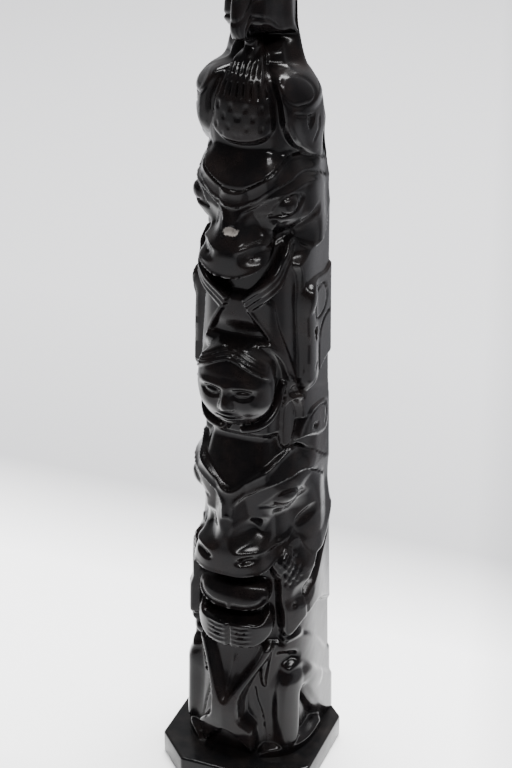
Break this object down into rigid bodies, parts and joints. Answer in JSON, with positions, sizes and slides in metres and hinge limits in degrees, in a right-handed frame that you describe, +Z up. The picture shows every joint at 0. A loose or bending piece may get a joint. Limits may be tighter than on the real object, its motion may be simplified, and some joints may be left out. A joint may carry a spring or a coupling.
{
  "type": "totem pole",
  "caption": "Tapering carved stone column with stacked animal and human figures and a flat back, standing on a thin slab with cut corners.",
  "frame": {"origin": "middle of the slab's underside", "axes": "+Z up along the pole, -Y towards the carved front, +X to the right of a viewer who faces the carved front"},
  "size_m": [0.063, 0.063, 0.332],
  "materials": {
    "pole_stone": "polished",
    "base_stone": "polished"
  },
  "bodies": {
    "root": {"pole": "pole_stone", "base": "base_stone"}
  },
  "joints": []
}
